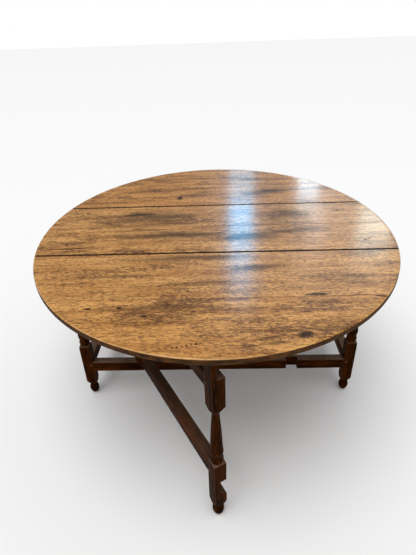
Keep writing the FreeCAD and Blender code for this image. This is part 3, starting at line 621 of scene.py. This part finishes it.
ARRIS = 0.0016                      # how far in from a sharp corner the rounding starts
SHARP_TURN = math.radians(28)       # a corner that turns more than this is an arris
SHORTEST_ARRIS = 0.012
PLANE_SPACING = 0.014               # between the cuts that let a face follow its hollows
DEEPEST_HOLLOW = 0.00035
DEEPEST_DENT = 0.0009
HOLLOWS_PER_METRE = 9.0
DENTS_PER_METRE = 38.0
DENTED_TURN = math.radians(20)      # dents fall only where the surface turns more than this
SPLIT_STRAY = 0.003                 # how far a split may stray sideways
SPLIT_WAVES_PER_METRE = 45
BORE_SIDES = 12
SAME_PLACE = 1e-6                   # points this close are one point
SLIVER = 3e-5                       # points this close after the cuts are merged
FLAT_TURN = math.radians(1)         # faces that turn less than this are one flat face
CREASE = math.radians(34)           # edges that turn more than this are shaded as sharp
BODY_OF = {name: body for body, names in frame["record"]["behaviour"]["bodies"].items()
           for name in names}
# Splits that run in from the edge of a board: start, end, width and depth
SPLITS = {
    "centre_board_front": [((-0.686, -0.194), (-0.447, -0.179), 0.0030, 0.0040)],
    "front_leaf_outer_board": [((0.495, -0.555), (0.546, -0.562), 0.0026, 0.0030)],
}


def soften_arrises(wood):
    """Round over the long straight edges, and leave the crisp turned rings alone."""
    arrises = [edge for edge in wood.edges
               if edge.is_manifold and edge.calc_length() > SHORTEST_ARRIS
               and edge.calc_face_angle(0.0) > SHARP_TURN and edge.is_convex]
    bmesh.ops.bevel(wood, geom=arrises, offset=ARRIS, offset_type="OFFSET", segments=2,
                    profile=0.5, affect="EDGES", clamp_overlap=True)


def cut_plane(wood, point, direction):
    """One level cut, through every face that it meets."""
    bmesh.ops.bisect_plane(wood, geom=wood.verts[:] + wood.edges[:] + wood.faces[:],
                           dist=SAME_PLACE, plane_co=point, plane_no=direction)


def cut_across(wood, direction, spacing):
    """Level cuts all along a direction, so that the faces can follow hollows."""
    reaches = [vertex.co.dot(direction) for vertex in wood.verts]
    low, high = min(reaches), max(reaches)
    count = round((high - low) / spacing)
    for step in range(1, count):
        cut_plane(wood, direction * (low + (high - low) * step / count), direction)


def open_split(wood, split):
    """A groove along the split, sunk on its middle line and tapering out at both ends."""
    *ends, width, depth = split
    start, end = (Vector((*corner, TOP_LEVEL)) for corner in ends)
    length, along = (end - start).length, (end - start).normalized()
    across = along.cross(Vector((0, 0, 1)))
    for offset in (-0.5, 0.0, 0.5):
        cut_plane(wood, start + across * width * offset, across)
    for vertex in wood.verts:
        from_start = vertex.co - start
        share, off_line = from_start.dot(along) / length, abs(from_start.dot(across))
        outside = off_line > width * 0.6 or not 0 < share < 1
        if outside or vertex.co.z < TOP_LEVEL - ARRIS:
            continue
        if off_line < width * 0.1:
            vertex.co.z -= depth * math.sin(math.pi * share) ** 0.5
        waves = Vector((vertex.co.x * SPLIT_WAVES_PER_METRE, 0.5, 0.5))
        vertex.co += across * noise.noise(waves) * SPLIT_STRAY


def add_object(name, content):
    """A new object in the scene that holds a mesh, a light or a camera."""
    made = bpy.data.objects.new(name, content)
    bpy.context.scene.collection.objects.link(made)
    return made


def add_piece(name, wood):
    """A new object in the scene with the shape of the wood."""
    mesh = bpy.data.meshes.new(name)
    wood.to_mesh(mesh)
    return add_object(name, mesh)


def bore_worm_holes(wood):
    """Blind holes that widen upward, cut out of the board while its faces are still flat."""
    bores = bmesh.new()
    for x, y, diameter in WORM_HOLES:
        bmesh.ops.create_cone(
            bores, cap_ends=True, segments=BORE_SIDES, radius1=diameter * 0.3,
            radius2=diameter * 0.5, depth=WORM_HOLE_DEPTH * 2,
            matrix=Matrix.Translation((x, y, TOP_LEVEL)))
    cutter, board = add_piece("worm_bores", bores), add_piece("bored_board", wood)
    bores.free()
    cut = board.modifiers.new("worm holes", "BOOLEAN")
    cut.object, cut.solver = cutter, "EXACT"
    scene_now = bpy.context.evaluated_depsgraph_get()
    bored = bpy.data.meshes.new_from_object(board.evaluated_get(scene_now))
    wood.clear()
    wood.from_mesh(bored)
    for leftover in (cutter, board):
        bpy.data.objects.remove(leftover)
    bpy.data.meshes.remove(bored)


def wear_down(wood, seed):
    """Sink each point below the sawn surface: slow hollows all over, and dents at the arrises."""
    wood.normal_update()
    shift = Vector((seed * 1.37, seed * 0.71, seed * 2.13))
    sunk = []
    for vertex in wood.verts:
        hollow = noise.noise(vertex.co * HOLLOWS_PER_METRE + shift) * 0.5 + 0.5
        turn = max((edge.calc_face_angle(0.0) for edge in vertex.link_edges), default=0.0)
        knock = max(0.0, noise.noise(vertex.co * DENTS_PER_METRE - shift)) ** 2
        depth = DEEPEST_HOLLOW * hollow + DEEPEST_DENT * (knock if turn > DENTED_TURN else 0.0)
        sunk.append(vertex.co - vertex.normal * depth)
    for vertex, place in zip(wood.verts, sunk):
        vertex.co = place


def keep_inside(wood, name):
    """Hold every point within the box of the CAD node that the worn copy stands for."""
    low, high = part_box(name)
    for vertex in wood.verts:
        vertex.co = [min(max(place, least), most)
                     for place, least, most in zip(vertex.co, low, high)]


def worn_copy(name, node, axes):
    """A piece with the wear of age, which stands for a CAD node that was sawn along the axes."""
    wood = bmesh.new()
    points = [wood.verts.new(vertex.co) for vertex in node.data.vertices]
    for face in node.data.polygons:
        wood.faces.new([points[index] for index in face.vertices])
    bmesh.ops.remove_doubles(wood, verts=wood.verts, dist=SAME_PLACE)
    bmesh.ops.dissolve_limit(wood, angle_limit=FLAT_TURN, verts=wood.verts, edges=wood.edges)
    soften_arrises(wood)
    if name == "front_leaf_outer_board":
        bore_worm_holes(wood)
    for direction in axes:
        cut_across(wood, direction, PLANE_SPACING)
    bmesh.ops.remove_doubles(wood, verts=wood.verts, dist=SLIVER)
    wear_down(wood, sum(ord(letter) for letter in name) % 97)
    for split in SPLITS.get(name, []):
        open_split(wood, split)
    keep_inside(wood, name)
    piece = add_piece(f"worn_{name}", wood)
    wood.free()
    piece.data.shade_smooth()
    piece.data.set_sharp_from_angle(angle=CREASE)
    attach(piece, BODY_OF[name])
    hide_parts(name)
    return piece


def axes_of(name):
    """The directions in which a piece was sawn: those of a gate are turned with it."""
    on_a_gate = "gate" in name and "stop" not in name
    turn = Matrix.Rotation(-GATE_OPENING if on_a_gate else 0.0, 3, "Z")
    return [turn @ Vector(direction) for direction in ((1, 0, 0), (0, 1, 0), (0, 0, 1))]


for name, node in frame["nodes"].items():
    finish, material_slot = finish_for(name)
    piece = node
    if material_slot in ("top_oak", "frame_oak"):
        piece = worn_copy(name, node, axes_of(name))
    piece.data.materials.clear()
    piece.data.materials.append(finish)


# Floor, light and camera

FLOOR_REACH = 60.0

# How bright the surroundings are: to the eye, in polish, and as light on dull surfaces
SEEN_BRIGHTNESS, MIRRORED_BRIGHTNESS, LIGHT_BRIGHTNESS = 1.0, 0.22, 0.60

OVERHEAD_STRENGTH = 1.6
OVERHEAD_SPREAD = math.radians(50)
OVERHEAD_DIRECTION = (0.12, 0.25, -1.0)

# Windows behind the table, upright and facing it: the middle, width, height, brightness, colour
WINDOWS = {
    "window_foot": ((0.33, 3.6, 1.74), 0.31, 0.58, 3.2, (0.44, 0.76, 1.0)),
    "window_middle": ((0.33, 3.6, 2.39), 0.31, 0.72, 12.0, (0.06, 0.54, 1.0)),
    "window_head": ((0.33, 3.6, 3.125), 0.31, 0.75, 8.0, (0.16, 0.60, 1.0)),
    "second_window": ((1.15, 3.4, 1.65), 0.26, 0.6, 6.5, (0.56, 0.82, 1.0)),
    "second_window_foot": ((1.30, 3.4, 2.3), 0.22, 0.6, 2.2, (0.9, 0.92, 1.0)),
    "third_window": ((1.98, 3.2, 2.25), 0.42, 0.7, 5.0, (0.84, 1.0, 0.95)),
    "right_panel": ((2.7, 3.5, 2.3), 3.4, 2.9, 0.75, (0.72, 0.88, 1.0)),
}

LENS, FILM_WIDTH = 27.0, 36.0
CAMERA_PLACE = (0.014, -1.629, 1.456)
CAMERA_PAN, CAMERA_DIP, CAMERA_ROLL = (math.radians(angle) for angle in (1.74, 30.76, -2.01))


def make_floor():
    corners = [(-1, -1), (1, -1), (1, 1), (-1, 1)]
    mesh = bpy.data.meshes.new("floor")
    mesh.from_pydata([(x * FLOOR_REACH, y * FLOOR_REACH, 0) for x, y in corners], [],
                     [(0, 1, 2, 3)])
    material, tree = new_material("pale_floor")
    shader = tree.node("ShaderNodeBsdfPrincipled",
                       {"Base Color": (0.9, 0.9, 0.9, 1.0), "Roughness": 0.9})
    tree.node("ShaderNodeOutputMaterial", {"Surface": shader})
    mesh.materials.append(material)
    add_object("floor", mesh)


def aim(lamp, direction):
    lamp.rotation_euler = Vector(direction).to_track_quat("-Z", "Y").to_euler()


def make_window(name, middle, width, height, brightness, colour):
    """A rectangular light that only polish mirrors; brightness is what a mirror shows of it."""
    light = bpy.data.lights.new(name, "AREA")
    light.shape = "RECTANGLE"
    light.size, light.size_y = width, height
    light.energy = brightness * width * height * math.pi
    light.color = colour
    lamp = add_object(name, light)
    lamp.location = middle
    aim(lamp, (0.0, -middle[1], 0.0))
    lamp.visible_camera = False
    lamp.visible_diffuse = False


def make_light():
    """Even soft light from above, dim surroundings for the polish to mirror, and the windows."""
    world = bpy.data.worlds.new("studio")
    bpy.context.scene.world = world
    world.use_nodes = True
    world.node_tree.nodes.clear()
    tree = Tree(world.node_tree)
    seen = tree.node("ShaderNodeLightPath", out="Is Camera Ray")
    mirrored = tree.node("ShaderNodeLightPath", out="Is Glossy Ray")
    unseen = tree.between(mirrored, LIGHT_BRIGHTNESS, MIRRORED_BRIGHTNESS)
    shader = tree.node("ShaderNodeBackground", {
        "Color": (1.0, 1.0, 1.0, 1.0), "Strength": tree.between(seen, unseen, SEEN_BRIGHTNESS)})
    tree.node("ShaderNodeOutputWorld", {"Surface": shader})
    overhead = bpy.data.lights.new("overhead_light", "SUN")
    overhead.energy = OVERHEAD_STRENGTH
    overhead.angle = OVERHEAD_SPREAD
    aim(add_object("overhead_light", overhead), OVERHEAD_DIRECTION)
    for name, window in WINDOWS.items():
        make_window(name, *window)


def make_camera():
    camera = bpy.data.cameras.new("camera")
    camera.lens, camera.sensor_width = LENS, FILM_WIDTH
    turn = (Matrix.Rotation(CAMERA_PAN, 4, "Z")
            @ Matrix.Rotation(math.pi / 2 - CAMERA_DIP, 4, "X")
            @ Matrix.Rotation(CAMERA_ROLL, 4, "Z"))
    holder = add_object("camera", camera)
    holder.matrix_world = Matrix.Translation(CAMERA_PLACE) @ turn
    bpy.context.scene.camera = holder


make_floor()
make_light()
make_camera()
bpy.context.scene.view_settings.view_transform = "Standard"
